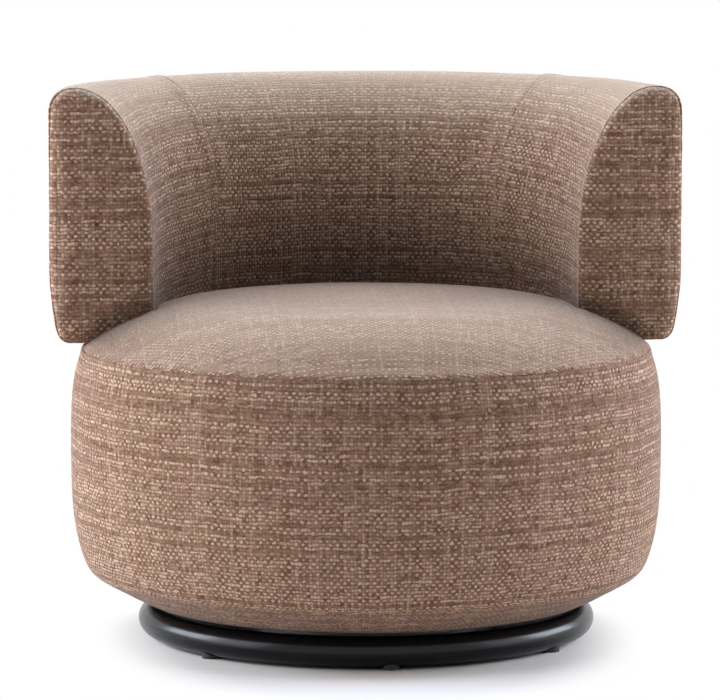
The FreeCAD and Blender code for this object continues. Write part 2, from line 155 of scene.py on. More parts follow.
class DrumSizes(bpy.types.PropertyGroup):
    """The drum and its seat."""

    hem_radius: metres("Hem radius", "Radius of the turned-under hem", 0.2602)
    hem_z: metres("Hem height", "Height of the hem", 0.0431)
    edge_radius: metres("Lower edge radius", "Radius where the sloping underside ends", 0.3315)
    edge_z: metres("Lower edge height", "Height where the sloping underside ends", 0.0778)
    foot_radius: metres("Wall foot radius", "Radius where the wall starts", 0.3385)
    foot_z: metres("Wall foot height", "Height where the wall starts", 0.094)
    belly_radius: metres("Belly radius", "Radius at the widest place", 0.3509)
    belly_z: metres("Belly height", "Height of the widest place", 0.235)
    wall_fullness: real("Wall fullness", "How straight the wall stays before it curves in", 3.4)
    seam_radius: metres("Seat seam radius", "Radius of the seam round the seat", 0.338)
    seam_z: metres("Seat seam height", "Height of the seam round the seat", 0.344)
    crown_z: metres("Crown height", "Height of the middle of the seat", 0.402)
    crown_power: real("Crown fullness", "How flat the middle of the seat is", 5.35)


class BackSizes(bpy.types.PropertyGroup):
    """The half-ring back."""

    radius: metres("Outer radius", "Radius of the outer side", 0.375)
    thickness: metres("Thickness", "Thickness of the arms and the foot of the back", 0.1225)
    bottom_z: metres("Bottom height", "Height of the underside", 0.349)
    top_z: metres("Top height", "Height of the top", 0.6525)
    lean_z: metres("Lean height", "Height where the inner side starts to lean back", 0.468)
    lean_width: metres("Lean width", "How far the inner side leans back by the top", 0.0895)
    top_corner: metres("Top corner", "Rounding of the outer top edge", 0.028)
    tuck_z: metres("Tuck height", "Height where the outer side starts to tuck in", 0.440)
    tuck_radius: metres("Tuck rounding", "Rounding of the tucked-in lower part", 0.380)
    foot_corner: metres("Foot corner", "Rounding of the outer bottom edge", 0.016)
    end_reach: metres("Arm reach", "How far the arm ends reach in front of the swivel axis", 0.012)
    end_round: metres("Arm end rounding", "Rounding of the edge round each arm end", 0.010)
    end_seam: metres("Arm end seam", "How far the seam lies inside the arm end's edge", 0.0009)
    end_dome: metres("Arm end dome", "How far the arm end swells forward of its seam", 0.005)
    end_dome_width: metres("Arm end dome width", "Width of the arm end's rounding inside its seam", 0.036)
    wing_angle: degrees("Wing angle", "Angle between the middle of the back and each wing seam", 45)
    wing_bow: degrees("Wing bow", "How far each wing seam bows towards the middle of the back", 4.0)


class SoftSizes(bpy.types.PropertyGroup):
    """How the pads are filled and sewn."""

    cell: metres("Mesh cell", "Size of the cloth's cells before they are divided", 0.0085)
    wall: metres("Pad wall", "Thickness of a pad's shell", 0.005)
    swell: metres("Swell", "How far a pad may swell between its seams", 0.0032)
    sink: factor("Sink", "Share of the swell by which a pad is sunk before it is filled", 0.7)
    pressure: real("Pressure", "Pressure that fills the pads", 12.0)
    frames: real("Filling steps", "Steps of the cloth's filling", 20, make=bpy.props.IntProperty)
    seam_depth: metres("Seam depth", "How deep the cloth is drawn in at a main seam", 0.0008)
    fine_seam_depth: metres("Edge seam depth", "How deep the cloth is drawn in at an edge's seam", 0.0002)
    seam_reach: metres("Seam reach", "How far from a seam the cloth starts to turn in", 0.0050)
    unevenness: metres("Unevenness", "Height of the padding's slow waves", 0.0008)


class FabricLook(bpy.types.PropertyGroup):
    """The woven fabric."""

    warp_pitch: metres("Warp pitch", "Distance between upright yarns", 0.0041)
    weft_pitch: metres("Weft pitch", "Distance between level yarns", 0.0044)
    dark: rgb("Dark yarn", "Colour of the darkest yarn", (0.105, 0.052, 0.031))
    middle: rgb("Brown yarn", "Colour of most yarns", (0.262, 0.152, 0.102))
    light: rgb("Light yarn", "Colour of the light yarns", (0.55, 0.395, 0.30))
    # Painted light: the paler, greyer colour the fabric turns to where it faces up, standing in for light
    # from above and grazing fuzz
    worn: rgb("Worn colour", "Colour that the yarns fade to where they lie level", (0.262, 0.196, 0.148))
    # Painted light: the pale colour along the back's top, standing in for light from above and behind
    faded: rgb("Faded colour", "Colour that the yarns fade to along the back's top", (0.35, 0.28, 0.215))
    sheen: factor("Fuzz", "Weight of the pale fuzz at grazing angles", 0.17)
    # Shade and the three lengths after it set painted shade: the fabric is darkened towards black in the
    # crevice round the seat, where the back's shadow falls
    shade: factor("Shade", "How much darker the fabric is in the crevice round the seat", 0.45)
    shade_low: metres("Shade at the arm ends", "Height of the shade at the arm ends", 0.035)
    shade_rise: real("Shade rise", "Growth of the shade's height towards the back's middle", 0.45)
    shade_out: metres("Shade over the seat", "Reach of the shade over the seat", 0.36)


class StudioLook(bpy.types.PropertyGroup):
    """The camera and lights."""

    camera_place: real(
        "Camera", "Where the camera stands", (-0.356, -6.002, 1.033),
        make=bpy.props.FloatVectorProperty, subtype="XYZ", unit="LENGTH",
    )
    camera_tilt: degrees("Camera tilt", "How far the camera looks down", 6.60)
    camera_turn: degrees("Camera turn", "How far the camera looks to the right", 3.332)
    camera_lens: real("Lens", "Focal length in millimetres on a 36 mm sensor", 254.15)
    left_power: real("Left light", "Power of the left panel in watts", 42.5)
    right_power: real("Right light", "Power of the right panel in watts", 23.0)
    rim_power: real("Rim lights", "Power of each low panel beside the back in watts", 44.0)
    top_power: real("Top light", "Power of the overhead panel in watts", 32.0)
    back_power: real("Back light", "Power of the high panel behind the chair in watts", 96.0)
    cool: rgb("Cool tint", "Colour of the lights above and behind the chair", (0.93, 1.0, 1.11))
    ambient: real("Ambient", "Strength of the room's light", 0.03)


def sizes(group):
    """The scene's values of one group."""
    return getattr(bpy.context.scene, group)


def runs(points):
    """Each point's distance along the line from its start."""
    return np.concatenate(([0.0], np.cumsum(np.linalg.norm(np.diff(points, axis=0), axis=1))))


def resampled(points, spacing):
    """The same line with a point about every spacing."""
    points = np.asarray(points, float)
    run = runs(points)
    count = max(2, int(round(run[-1] / spacing)) + 1)
    at = np.linspace(0.0, run[-1], count)
    return np.stack([np.interp(at, run, points[:, k]) for k in range(points.shape[1])], 1)


def drum_line():
    """The drum's side from the hem to the seat seam, as radius and height."""
    d = sizes("drum_sizes")
    share = np.linspace(1, 0, WALL_POINTS)[:, None] ** d.wall_fullness
    rise = np.linspace(0, 1, WALL_POINTS)[:, None]

    def up_to_belly(radius, z):
        return np.hstack((d.belly_radius - (d.belly_radius - radius) * share, z + (d.belly_z - z) * rise))

    hem = (d.hem_radius, d.hem_z)
    lip = (d.hem_radius + HEM_LIP[0], d.hem_z + HEM_LIP[1])
    lower = up_to_belly(d.foot_radius, d.foot_z)
    upper = up_to_belly(d.seam_radius, d.seam_z)
    slope = [hem, lip, (d.edge_radius, d.edge_z)]
    return rounded(np.concatenate((slope, lower, upper[-2::-1])), DRUM_EASE)


def rounded(points, span):
    """The same line with its corners eased over a span, its ends kept."""
    fine = resampled(points, FINE_STEP)
    reach = int(span / FINE_STEP / 2)
    total = np.concatenate((np.zeros((1, fine.shape[1])), np.cumsum(fine, 0)))
    at = np.arange(len(fine))
    half = np.minimum(reach, np.minimum(at, at[::-1]))
    return (total[at + half + 1] - total[at - half]) / (2 * half + 1)[:, None]


def crown_height(radius):
    """The height of the seat's crown at a distance from the swivel axis."""
    d = sizes("drum_sizes")
    share = np.clip(radius / d.seam_radius, 0, 1)
    return d.crown_z - (d.crown_z - d.seam_z) * share ** d.crown_power


def arc(centre_r, centre_z, radius, start, end, count):
    """Points of an arc in the upright plane, between two angles above the level."""
    turn = np.linspace(start, end, count)
    return np.stack([centre_r + radius * np.cos(turn), centre_z + radius * np.sin(turn)], 1)


def back_line():
    """The back's upright section in five lines, up its inner side, over the top and round its foot."""
    b = sizes("back_sizes")
    inner = b.radius - b.thickness
    rise = np.linspace(0, pi / 2, LEAN_POINTS)
    lean_r = inner + b.lean_width * (1 - np.cos(rise))
    lean_z = b.lean_z + (b.top_z - b.lean_z) * np.sin(rise)
    centre = (b.radius - b.top_corner, b.top_z - b.top_corner)
    corner = arc(*centre, b.top_corner, pi / 2, 0, CORNER_POINTS)
    turn = asin((b.tuck_z - b.bottom_z - b.foot_corner) / (b.tuck_radius - b.foot_corner))
    tuck = arc(b.radius - b.tuck_radius, b.tuck_z, b.tuck_radius, 0, -turn, CORNER_POINTS)
    centre = (tuck[-1, 0] - b.foot_corner * cos(turn), tuck[-1, 1] + b.foot_corner * sin(turn))
    foot = arc(*centre, b.foot_corner, -turn, -pi / 2, FOOT_POINTS)
    centre = (inner + INNER_FOOT_CORNER, b.bottom_z + INNER_FOOT_CORNER)
    inside = arc(*centre, INNER_FOOT_CORNER, -pi / 2, -pi, INNER_FOOT_POINTS)
    return np.stack([lean_r, lean_z], 1), corner, tuck, foot, inside


def back_sides():
    """The section split at its seams: the inner side, the outer side and the underside."""
    lean, corner, tuck, foot, inside = back_line()
    half = len(corner) // 2
    top_seam = corner[:half + 1]
    under_seam = foot[-1:] - (UNDER_SEAM_INSET, 0.0)
    inner_side = np.concatenate((inside[INNER_SEAM_POINT:], lean, top_seam))
    outer_side = np.concatenate((corner[half:], tuck, foot, under_seam))
    underside = np.concatenate((under_seam, inside[:INNER_SEAM_POINT + 1]))
    return inner_side, outer_side, underside


def stepped(length, cell):
    """Distances about a cell apart along a panel, and closer together near its two seams."""
    count = int(round(length / cell))
    near = [0.0]
    step = SEAM_STEP
    while step < length / count and near[-1] < length / 4:
        near.append(near[-1] + step)
        step *= STEP_GROWTH
    middle = np.linspace(near[-1], length - near[-1], max(3, count))
    near = np.array(near)
    return np.concatenate((near[:-1], middle, (length - near[:-1])[::-1]))


def along(points, distances):
    """Points at distances along a line, the normals on its left, and the distances scaled to fit it."""
    fine = resampled(points, FINE_STEP)
    run = runs(fine)
    distances = np.asarray(distances) * run[-1] / distances[-1]
    place = np.stack([np.interp(distances, run, fine[:, k]) for k in (0, 1)], 1)
    slope = np.gradient(fine, axis=0)
    tangent = np.stack([np.interp(distances, run, slope[:, k]) for k in (0, 1)], 1)
    return place, left_of(tangent), distances


def left_of(slope):
    """Unit normals on the left side of a line with that slope at each point."""
    slope = slope / np.linalg.norm(slope, axis=1)[:, None]
    return np.stack([-slope[:, 1], slope[:, 0]], 1)


def line_length(points):
    """The line's length."""
    return float(runs(points)[-1])


def deselect():
    """Leaves edit mode and selects nothing."""
    if bpy.context.object and bpy.context.object.mode != "OBJECT":
        bpy.ops.object.mode_set(mode="OBJECT")
    bpy.ops.object.select_all(action="DESELECT")


def only(piece):
    """Selects one piece alone."""
    deselect()
    piece.select_set(True)
    bpy.context.view_layer.objects.active = piece


def apply_modifiers(piece):
    """Makes the piece's modifiers part of its mesh."""
    only(piece)
    for modifier in list(piece.modifiers):
        bpy.ops.object.modifier_apply(modifier=modifier.name)


def coordinates(piece, what="co"):
    """The vertices' places, or their normals where what is "normal", one row each."""
    values = np.zeros(len(piece.data.vertices) * 3, np.float32)
    piece.data.vertices.foreach_get(what, values)
    return values.reshape(-1, 3).astype(float)


def place_vertices(piece, co):
    """Moves the vertices to places, one row each."""
    piece.data.vertices.foreach_set("co", np.asarray(co, np.float32).ravel())
    piece.data.update()


def grid_piece(name, places, weave, closed=False):
    """A grid of cloth at places, an array of rows by columns, with its weave's coordinates in metres."""
    rows, columns = places.shape[:2]
    deselect()
    bpy.ops.mesh.primitive_grid_add(x_subdivisions=columns - 1, y_subdivisions=rows - 1, size=1)
    piece = bpy.context.object
    piece.name = name
    piece.data.name = name
    order = coordinates(piece)
    column = np.rint((order[:, 0] - order[:, 0].min()) * (columns - 1)).astype(int)
    row = np.rint((order[:, 1] - order[:, 1].min()) * (rows - 1)).astype(int)
    place_vertices(piece, places[row, column])
    set_weave(piece, weave[row, column])
    if closed:
        only(piece)
        bpy.ops.object.mode_set(mode="EDIT")
        bpy.ops.mesh.select_all(action="SELECT")
        bpy.ops.mesh.remove_doubles(threshold=WELD_DISTANCE)
        bpy.ops.object.mode_set(mode="OBJECT")
    return piece


def set_weave(piece, weave):
    """Writes the weave's coordinates, one pair for each vertex, to the piece's UV map."""
    mesh = piece.data
    while mesh.uv_layers:
        mesh.uv_layers.remove(mesh.uv_layers[0])
    layer = mesh.uv_layers.new(name="weave")
    corner = np.zeros(len(mesh.loops), np.int32)
    mesh.loops.foreach_get("vertex_index", corner)
    layer.data.foreach_set("uv", weave[corner].astype(np.float32).ravel())


def disc_piece(name, half_cells, rim_rings, place, weave):
    """A round or D-shaped panel: an even grid in its middle, and rings that follow its rim.

    place and weave take arrays of share from the middle, 0 to 1, and angle."""
    span = np.linspace(-1, 1, 2 * half_cells + 1)
    u, v = np.meshgrid(span, span)
    x = DISC_CORE * u * np.sqrt(1 - v**2 / 2)
    y = DISC_CORE * v * np.sqrt(1 - u**2 / 2)
    n = len(span)
    index = np.arange(n * n).reshape(n, n)
    corners = (index[:-1, :-1], index[:-1, 1:], index[1:, 1:], index[1:, :-1])
    faces = np.stack(corners, -1).reshape(-1, 4).tolist()
    sides = (index[0, :-1], index[:-1, -1], index[-1, :0:-1], index[:0:-1, 0])
    ring = np.concatenate(sides).tolist()
    share = np.hypot(x, y).ravel()
    angle = np.arctan2(y, x).ravel()
    edge_angle = angle[ring]
    shares = [share]
    angles = [angle]
    start = n * n
    for rim in rim_rings:
        now = list(range(start, start + len(ring)))
        faces += zip(ring, now, now[1:] + now[:1], ring[1:] + ring[:1])
        shares.append(np.full(len(ring), rim))
        angles.append(edge_angle)
        start += len(ring)
        ring = now
    share = np.concatenate(shares)
    angle = np.concatenate(angles)
    mesh = bpy.data.meshes.new(name)
    mesh.from_pydata(place(share, angle).tolist(), [], faces)
    piece = bpy.data.objects.new(name, mesh)
    bpy.context.scene.collection.objects.link(piece)
    set_weave(piece, weave(share, angle))
    return piece


def outward(piece, inside):
    """Turns the cloth's faces away from the point inside(co), as every seventh face tells."""
    mesh = piece.data
    mesh.update()
    towards = 0.0
    for polygon in list(mesh.polygons)[::7]:
        towards += polygon.normal.dot(polygon.center - inside(polygon.center)) * polygon.area
    if towards < 0:
        mesh.flip_normals()


def loosening(distance, reach, held):
    """How loose the cloth is at a distance from a seam: 0 where it is held, rising to 1."""
    return np.clip(distance / reach - held, 0, 1)


def seam_share(distance):
    """How much of the seam's depth is left at a distance from it."""
    reach = sizes("soft_sizes").seam_reach
    return np.exp(-(np.maximum(distance, 0) / reach) ** 1.5)


def smoothed(piece, values, rounds):
    """Values of the piece's vertices, evened out along its edges."""
    mesh = piece.data
    ends = np.zeros(len(mesh.edges) * 2, np.int32)
    mesh.edges.foreach_get("vertices", ends)
    a, b = ends.reshape(-1, 2).T
    count = len(mesh.vertices)
    touching = np.maximum(np.bincount(a, minlength=count) + np.bincount(b, minlength=count), 1)
    for _ in range(rounds):
        total = np.bincount(a, values[b], count) + np.bincount(b, values[a], count)
        values = (1 - SMOOTHING) * values + SMOOTHING * total / touching
    return values


def fill(piece, free):
    """Gives the cloth its inner wall, fills the pad by pressure and holds it where free is 0.

    The cloth is sunk first, so that the filled pad is about as large as it was drawn."""
    s = sizes("soft_sizes")
    count = len(piece.data.vertices)
    depth = s.swell * s.sink * free**2
    place_vertices(piece, coordinates(piece) - coordinates(piece, "normal") * depth[:, None])
    shell = piece.modifiers.new("Wall", "SOLIDIFY")
    shell.thickness = s.wall
    shell.offset = -1.0
    shell.use_even_offset = True
    shell.use_rim = True
    shell.edge_crease_outer = 1.0
    shell.edge_crease_inner = 1.0
    apply_modifiers(piece)
    start = coordinates(piece)
    normals = coordinates(piece, "normal")
    loose = np.concatenate((free, np.zeros(len(start) - count)))
    held = piece.vertex_groups.new(name="held")
    for k in np.flatnonzero(loose < 1):
        held.add([int(k)], float(1 - loose[k]), "REPLACE")
    cloth = piece.modifiers.new("Filling", "CLOTH")
    for name, value in CLOTH_SETTINGS.items():
        setattr(cloth.settings, name, value)
    cloth.settings.uniform_pressure_force = s.pressure
    cloth.settings.vertex_group_mass = "held"
    cloth.settings.effector_weights.gravity = 0
    cloth.collision_settings.use_collision = False
    cloth.collision_settings.use_self_collision = False
    cloth.point_cache.frame_start = 1
    cloth.point_cache.frame_end = s.frames
    scene = bpy.context.scene
    for step in range(1, s.frames + 1):
        scene.frame_set(step)
    apply_modifiers(piece)
    scene.frame_set(1)
    piece.vertex_groups.clear()
    rise = ((coordinates(piece) - start) * normals).sum(1)
    rise = np.clip(rise, 0, s.swell) * (loose > 0)
    rise = smoothed(piece, rise, SMOOTHING_ROUNDS) * np.minimum(loose * 2, 1)
    place_vertices(piece, start + normals * rise[:, None])


def soften(piece, seams):
    """Divides the mesh once, then draws slow waves in the padding and small puckers along its seams.

    seams(co) gives each vertex's distance from its nearest seam."""
    s = sizes("soft_sizes")
    divide = piece.modifiers.new("Divide", "SUBSURF")
    divide.levels = 1
    divide.render_levels = 1
    apply_modifiers(piece)
    only(piece)
    bpy.ops.object.shade_smooth()
    co = coordinates(piece)
    normals = coordinates(piece, "normal")
    near = np.exp(-(seams(co) / PUCKER_REACH) ** 2)
    lift = np.zeros(len(co))
    for k, point in enumerate(co):
        slow = noise.noise(Vector(point) * WAVES + WAVE_SHIFT)
        pucker = noise.noise(Vector(point) * PUCKERS)
        lift[k] = s.unevenness * (slow + PUCKER_SHARE * near[k] * pucker)
    place_vertices(piece, co + normals * lift[:, None])


def finish_soft(piece, nodes):
    """Covers a pad in the fabric, hangs it on the seat's body and hides the frame's parts that it stands
    for.
    """
    piece.data.materials.clear()
    piece.data.materials.append(woven_fabric())
    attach(piece, "seat")
    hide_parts(*nodes)


def about_axis(radius, angle, z):
    """Points at a distance from the swivel axis, an angle round it and a height."""
    x = AXIS.x + radius * np.cos(angle)
    y = AXIS.y + radius * np.sin(angle)
    return np.stack([x, y, np.broadcast_to(z, radius.shape)], -1)


class Wire:
    """One output of a node, on which arithmetic adds Math nodes."""

    def __init__(self, tree, socket):
        self.tree = tree
        self.socket = socket

    def math(self, operation, *others):
        return self.tree.add("Math", [self, *others], operation=operation)

    __add__ = __radd__ = partialmethod(math, "ADD")
    __mul__ = __rmul__ = partialmethod(math, "MULTIPLY")
    __sub__ = partialmethod(math, "SUBTRACT")
    __truediv__ = partialmethod(math, "DIVIDE")
    __pow__ = partialmethod(math, "POWER")
    __gt__ = partialmethod(math, "GREATER_THAN")
    floor = partialmethod(math, "FLOOR")
    cos = partialmethod(math, "COSINE")
    root = partialmethod(math, "SQRT")
    wrap = partialmethod(math, "FLOORED_MODULO")
    above = partialmethod(math, "MAXIMUM")

    def __rsub__(self, other):
        return self.tree.add("Math", [other, self], operation="SUBTRACT")

    def clip(self):
        return self.tree.add("Clamp", [self])

    def step(self, low, high):
        """An eased rise from 0 at low to 1 at high."""
        values = {"Value": self, "From Min": low, "From Max": high}
        return self.tree.add("MapRange", values, interpolation_type="SMOOTHSTEP")


class Tree:
    """A material's or world's nodes."""

    def __init__(self, owner):
        owner.use_nodes = True
        self.nodes = owner.node_tree.nodes
        self.links = owner.node_tree.links
        self.nodes.clear()

    def add(self, kind, values=(), output=0, **settings):
        """Adds a node, sets or links its inputs, and gives one of its outputs."""
        node = self.nodes.new("ShaderNode" + kind)
        for name, value in settings.items():
            setattr(node, name, value)
        pairs = values.items() if isinstance(values, dict) else enumerate(values)
        for key, value in pairs:
            socket = node.inputs[key]
            if isinstance(value, Wire):
                self.links.new(value.socket, socket)
            elif hasattr(value, "__len__") and len(value) == 3 and socket.type == "RGBA":
                socket.default_value = (*value, 1.0)
            else:
                socket.default_value = value
        return Wire(self, node.outputs[output]) if node.outputs else None

    def split(self, where):
        """The three numbers of a vector."""
        outputs = self.add("SeparateXYZ", [where]).socket.node.outputs
        return [Wire(self, output) for output in outputs]

    def mix(self, share, a, b, blend="MIX"):
        """A blend of two colours."""
        return self.add("Mix", {0: share, 6: a, 7: b}, 2, data_type="RGBA", blend_type=blend)

    def vector(self, x, y, z=0.0):
        return self.add("CombineXYZ", [x, y, z])

    def noise(self, where, scale, detail, roughness=0.5):
        values = {"Vector": where, "Scale": scale, "Detail": detail, "Roughness": roughness}
        return self.add("TexNoise", values)

    def sway(self, where, scale, reach):
        """Slow noise about zero."""
        return (self.noise(where, scale, 1.0) - 0.5) * reach

    def chance(self, x, y, seed):
        """An even random number for each whole x and y."""
        return self.add("TexWhiteNoise", {"Vector": self.vector(x, y, seed)})

    def ray(self, kind):
        """1 for a ray of one kind, such as Camera."""
        return Wire(self, self.add("LightPath").socket.node.outputs[f"Is {kind} Ray"])

    def place(self):
        """The point in the piece's own metres."""
        return self.add("TexCoord", output=3)

    def facing_up(self):
        """How level the surface is: 1 where it faces straight up."""
        return self.split(self.add("TexCoord", output=1))[2]

    def crevice(self):
        """The mask of the painted shade in the crevice: 1 where the back stands on the seat, falling to 0
        up the back and out over the seat.
        """
        d = sizes("drum_sizes")
        b = sizes("back_sizes")
        look = sizes("fabric_look")
        x, y, z = self.split(self.place())
        x = x - AXIS.x
        y = y - AXIS.y
        radius = (x * x + y * y).root()
        crown = d.seam_z + (d.crown_z - d.seam_z) * (1.0 - (radius / d.seam_radius) ** d.crown_power)
        up = (z - crown) / (look.shade_low + look.shade_rise * y.clip())
        inward = (b.radius - b.thickness - radius).above(0.0)
        forward = (-b.end_reach - y).above(0.0) * 2.0
        out = (inward * inward + forward * forward).root() / look.shade_out
        away = (up * up + out * out).root()
        return away.step(1.0, 0.0) * z.step(*CREVICE_HEIGHTS) * radius.step(*CREVICE_RADII)

    def surface(self, colour, normal, **others):
        """Ends a material's tree with its shader, whose other inputs are named in others."""
        values = {"Base Color": colour, "Normal": normal}
        values.update({name.replace("_", " "): value for name, value in others.items()})
        self.add("OutputMaterial", [self.add("BsdfPrincipled", values)])

    def bump(self, height, distance, strength):
        values = {"Height": height, "Distance": distance, "Strength": strength}
        return self.add("Bump", values)


def finish(make):
    """Turns a function that fills a tree into one that gives the material, made when first asked for."""

    def give():
        name = make.__name__ + "_finish"
        material = bpy.data.materials.get(name)
        if material is None:
            material = bpy.data.materials.new(name)
            make(Tree(material))
        return material

    return give


@finish
def woven_fabric(tree):
    """A plain weave of thick, uneven yarns in browns, with light slubs and fine fuzz, painted light where
    it faces up and along the back's top, and painted shade in the crevice round the seat and between its
    rows.
    """
    look = sizes("fabric_look")
    weave = tree.add("UVMap", uv_map="weave")
    level, upright, _ = tree.split(weave)
    u = level / look.warp_pitch + tree.sway(weave, 22.0, 1.2) + tree.sway(weave, 190.0, 1.1)
    v = upright / look.weft_pitch + tree.sway(weave, 15.0, 1.4) + tree.sway(weave, 150.0, 1.0)
    column = u.floor()
    row = v.floor()
    across = ((u - column - 0.5) * pi).cos()
    up = ((v - row - 0.5) * pi).cos()

    row_run = tree.noise(tree.vector(u * 0.11, row * 5.31, 2.0), 1.0, 3.0)
    slip = (tree.chance(column, row, 3.0) + row_run * 0.7) > 1.22
    weft_over = (1.0 - (column + row).wrap(2.0) + slip).clip()
    weft_float = up ** 1.3 * (0.25 + 0.75 * across ** 0.6)
    warp_float = across ** 0.6 * (0.40 + 0.50 * up ** 0.7)
    height = weft_over * weft_float + (1.0 - weft_over) * warp_float

    cell_luck = tree.chance(column, row, 7.0)
    row_luck = tree.chance(row, 0.0, 11.0)
    weft_light = (row_luck * 0.60 + row_run * 0.9).step(0.35, 1.0) * (0.60 + 0.8 * cell_luck)
    column_luck = tree.chance(column, 0.0, 17.0)
    column_run = tree.noise(tree.vector(column * 4.17, v * 0.13, 5.0), 1.0, 2.0)
    warp_light = (column_luck * 0.5 + column_run * 0.9).step(0.55, 1.1) * (0.2 + 0.8 * cell_luck)

    shown = weft_over * weft_light * weft_float + (1.0 - weft_over) * warp_light * warp_float
    speck = tree.noise(weave, 330.0, 2.0, 0.6)
    haze = tree.noise(tree.vector(level * 60.0, upright * 110.0), 1.0, 3.0, 0.6)
    # Each row is darker towards its edges: partly the weave's own dark gaps, partly painted shade between
    # the rows
    body = ((speck - 0.5) * 2.0 + (haze - 0.5) * 2.4 + 0.35 + 0.25 * up).clip()
    base = tree.mix(body, look.dark, look.middle)
    colour = tree.mix((shown * 1.05).clip(), base, look.light)
    # Painted light: paler and greyer where the surface faces up, mostly on the seat's crown
    colour = tree.mix(tree.facing_up().step(0.6, 0.95) * 0.55, colour, look.worn)
    # Painted light: above half a metre, where the surface faces up, the colour is paler as if lit from
    # above and behind
    _, _, above_floor = tree.split(tree.place())
    back_top_light_mask = tree.facing_up().step(0.20, 0.75) * above_floor.step(0.50, 0.60)
    colour = tree.mix(back_top_light_mask * 0.5, colour, look.faded)
    # Painted shade: the colour is darkened towards black in the crevice where the back stands on the seat
    colour = tree.mix(tree.crevice() * look.shade, colour, (0.0, 0.0, 0.0))
    patch = tree.noise(tree.vector(u * 0.10, v * 0.20, 9.0), 1.0, 3.0)
    colour = tree.mix(patch.step(0.54, 0.70) * 0.45, colour, (1.10, 0.93, 0.95), "MULTIPLY")
    colour = tree.mix(patch.step(0.46, 0.30) * 0.45, colour, (0.97, 1.0, 0.86), "MULTIPLY")
    normal = tree.bump(height + 0.4 * speck, 0.0011, 0.5)
    tree.surface(
        colour, normal, Roughness=0.92, Specular_IOR_Level=0.18, Sheen_Weight=look.sheen,
        Sheen_Roughness=0.30, Sheen_Tint=(0.92, 0.95, 1.0, 1.0),
    )


@finish
def black_metal(tree):
    """Satin black lacquer over steel tube, with a faint orange-peel."""
    where = tree.place()
    peel = tree.noise(where, 900.0, 2.0)
    cloud = tree.noise(where, 18.0, 3.0)
    colour = tree.mix(cloud, (0.0014, 0.0015, 0.0026), (0.0026, 0.0027, 0.0042))
    roughness = 0.22 + 0.06 * cloud
    tree.surface(
        colour, tree.bump(peel, 0.00006, 0.5), Roughness=roughness, Specular_IOR_Level=0.28,
        Specular_Tint=(0.92, 0.94, 1.0, 1.0),
    )


@finish
def glide_plastic(tree):
    """Hard black plastic, scuffed where it slides."""
    where = tree.place()
    scuff = tree.noise(where, 700.0, 3.0, 0.7)
    colour = tree.mix(scuff, (0.003, 0.003, 0.004), (0.010, 0.010, 0.011))
    tree.surface(colour, tree.bump(scuff, 0.0001, 0.4), Roughness=0.45 + 0.25 * scuff)


def metal(tree, dark, light, roughness, scale, brushed=1.0):
    """A bare metal with fine marks of its making."""
    where = tree.place()
    stretched = tree.add("Mapping", {"Vector": where, "Scale": (1.0, 1.0, brushed)})
    mark = tree.noise(stretched, scale, 4.0, 0.65)
    stain = tree.noise(where, 35.0, 3.0)
    colour = tree.mix(0.6 * mark + 0.4 * stain, dark, light)
    tree.surface(colour, tree.bump(mark, 0.00005, 0.4), Metallic=1.0, Roughness=roughness + 0.18 * mark)


@finish
def zinc_steel(tree):
    metal(tree, (0.33, 0.34, 0.35), (0.62, 0.63, 0.65), 0.30, 420.0)


@finish
def bearing_steel(tree):
    metal(tree, (0.46, 0.46, 0.48), (0.70, 0.70, 0.72), 0.12, 900.0)


@finish
def bush_bronze(tree):
    metal(tree, (0.36, 0.20, 0.07), (0.60, 0.38, 0.16), 0.28, 500.0, 6.0)


@finish
def cage_plastic(tree):
    """Off-white moulded plastic."""
    where = tree.place()
    flow = tree.noise(where, 60.0, 3.0)
    colour = tree.mix(flow, (0.52, 0.50, 0.44), (0.66, 0.64, 0.58))
    tree.surface(colour, tree.bump(flow, 0.0001, 0.3), Roughness=0.42)


@finish
def plywood(tree):
    """Birch plywood: pale faces with long grain, and thin darker layers on the edges."""
    where = tree.place()
    along_grain = tree.add("Mapping", {"Vector": where, "Scale": (1.0, 14.0, 1.0)})
    grain = tree.noise(along_grain, 26.0, 6.0, 0.62)
    pore = tree.noise(along_grain, 240.0, 2.0, 0.6)
    layer = (tree.split(where)[2] / 0.0014).floor().wrap(2.0)
    colour = tree.mix(grain.step(0.32, 0.68), (0.50, 0.33, 0.19), (0.70, 0.52, 0.33))
    colour = tree.mix(0.22 * layer, colour, (0.34, 0.20, 0.10))
    colour = tree.mix(pore.step(0.62, 0.74) * 0.4, colour, (0.30, 0.18, 0.09))
    tree.surface(colour, tree.bump(grain + 0.4 * pore, 0.0002, 0.5), Roughness=0.62)


@finish
def strap_web(tree):
    """Elastic webbing: a twill of black and sand-coloured ribs."""
    x, y, _ = tree.split(tree.place())
    x = x / 0.0016
    y = y / 0.0016
    rib = ((x + y) * pi).cos() * 0.5 + 0.5
    band = (x * 0.12).floor().wrap(2.0)
    colour = tree.mix(rib, (0.05, 0.045, 0.04), (0.20, 0.17, 0.13))
    colour = tree.mix(band * 0.35, colour, (0.42, 0.36, 0.27))
    tree.surface(colour, tree.bump(rib, 0.0003, 0.7), Roughness=0.85)


@finish
def dust_cloth(tree):
    """Thin black bonded cloth under the seat."""
    where = tree.place()
    fibre = tree.noise(where, 900.0, 3.0, 0.7)
    dimple = tree.add("TexVoronoi", {"Vector": where, "Scale": 420.0})
    colour = tree.mix(fibre, (0.010, 0.010, 0.010), (0.035, 0.034, 0.033))
    tree.surface(colour, tree.bump(dimple, 0.0003, 0.6), Roughness=0.9)


@finish
def foam(tree):
    """Pale open-cell foam."""
    where = tree.place()
    cell = tree.add("TexVoronoi", {"Vector": where, "Scale": 700.0})
    colour = tree.mix(cell, (0.60, 0.52, 0.36), (0.80, 0.74, 0.58))
    tree.surface(colour, tree.bump(cell, 0.0004, 0.7), Roughness=0.95)


